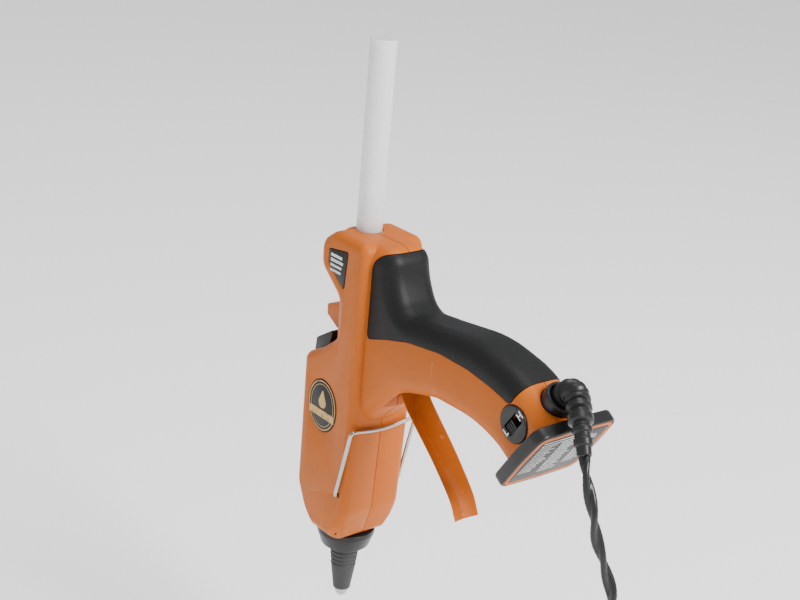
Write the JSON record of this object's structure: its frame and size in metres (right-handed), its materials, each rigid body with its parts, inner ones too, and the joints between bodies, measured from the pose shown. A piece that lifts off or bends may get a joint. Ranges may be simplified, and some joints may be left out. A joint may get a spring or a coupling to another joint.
{
  "type": "hot glue gun",
  "caption": "Mains hot glue gun with a squeeze trigger, high and low heat switch, folding wire stand, soft grip, foot at the butt and swivelling cord.",
  "frame": {"origin": "on the barrel's axis at the housing's front shoulder, where the nose rests in its holder", "axes": "+Z back along the barrel, nozzle down and glue stick up as it hangs; +X along the handle, away from the barrel; +Y to the gun's right side"},
  "size_m": [0.1994, 0.0684, 0.3212],
  "materials": {
    "orange_abs": "moulded ABS, fine satin",
    "black_rubber": "soft satin",
    "black_nylon": "moulded nylon, satin",
    "bright_wire": "bright plated wire",
    "zinc_steel": "zinc plated",
    "cast_aluminium": "as cast",
    "silicone": "heatproof silicone",
    "clear_silicone": "heatproof silicone, natural",
    "hot_melt": "milky hot melt glue",
    "board_green": "solder resist",
    "printed_badge": "printed film"
  },
  "bodies": {
    "housing": {"left_shell": "orange_abs", "right_shell": "orange_abs", "rubber_grip": "black_rubber", "top_insert": "black_nylon", "side_label": "printed_badge", "oval_badge": "printed_badge", "melt_chamber": "cast_aluminium", "nozzle": "cast_aluminium", "nozzle_sleeve": "silicone", "nose_collar": "black_nylon", "inlet_seal": "clear_silicone", "stick_guide": "black_nylon", "heater_plate": "zinc_steel", "heater_clip": "zinc_steel", "thermal_fuse": "black_nylon", "circuit_board": "board_green", "return_spring": "zinc_steel", "trigger_pin": "zinc_steel", "switch_plate": "black_nylon", "switch_body": "black_nylon", "foot_rim": "black_rubber", "foot_plate": "orange_abs", "foot_label": "printed_badge", "swivel_socket": "black_nylon", "shell_screw_1": "zinc_steel", "shell_screw_2": "zinc_steel", "shell_screw_3": "zinc_steel", "shell_screw_4": "zinc_steel", "shell_screw_5": "zinc_steel", "shell_screw_6": "zinc_steel"},
    "trigger": {"trigger": "orange_abs"},
    "feed": {"feed_carriage": "black_nylon", "jaw_pin": "zinc_steel"},
    "jaw": {"grip_jaw": "zinc_steel"},
    "stick": {"glue_stick": "hot_melt"},
    "stand": {"wire_stand": "bright_wire"},
    "switch": {"switch_slider": "black_nylon"},
    "swivel": {"cord_elbow": "black_nylon", "swivel_retainer": "zinc_steel", "cord": "black_rubber", "cord_coil": "black_rubber", "coil_tie": "black_nylon", "cord_tail": "black_rubber", "plug_body": "black_rubber", "plug_blade_1": "zinc_steel", "plug_blade_2": "zinc_steel"}
  },
  "joints": [
    {"name": "trigger_pivot", "type": "hinge", "parent": "housing", "child": "trigger", "pos_m": [0.034, 0, 0.092], "axis": [0, -1, 0], "range_deg": [0, 26], "stiffness_Nm_per_rad": 0.6, "springref_deg": -11.46},
    {"name": "feed_slide", "type": "slide", "parent": "housing", "child": "feed", "axis": [0, 0, -1], "range_m": [0, 0.0118], "deforming": ["return_spring"]},
    {"name": "jaw_pivot", "type": "hinge", "parent": "feed", "child": "jaw", "pos_m": [0.0106, 0, 0.1014], "axis": [0, 1, 0], "range_deg": [0, 7]},
    {"name": "stick_slide", "type": "slide", "parent": "housing", "child": "stick", "axis": [0, 0, -1], "range_m": [-0.05, 0.03]},
    {"name": "stand_hinge", "type": "hinge", "parent": "housing", "child": "stand", "pos_m": [0.0125, 0, 0.024], "axis": [0, 1, 0], "range_deg": [0, 110]},
    {"name": "heat_switch", "type": "slide", "parent": "housing", "child": "switch", "axis": [0.5621, 0, 0.8271], "range_m": [0, 0.004]},
    {"name": "cord_swivel", "type": "hinge", "parent": "housing", "child": "swivel", "pos_m": [0.1215, 0, 0.1102], "axis": [0.5621, 0, 0.8271], "range_deg": [-25, 75]}
  ],
  "couplings": [
    {"joint": "feed_slide", "follows": "trigger_pivot", "m_per_rad": 0.025442},
    {"joint": "jaw_pivot", "follows": "trigger_pivot", "ratio": 0.264}
  ]
}
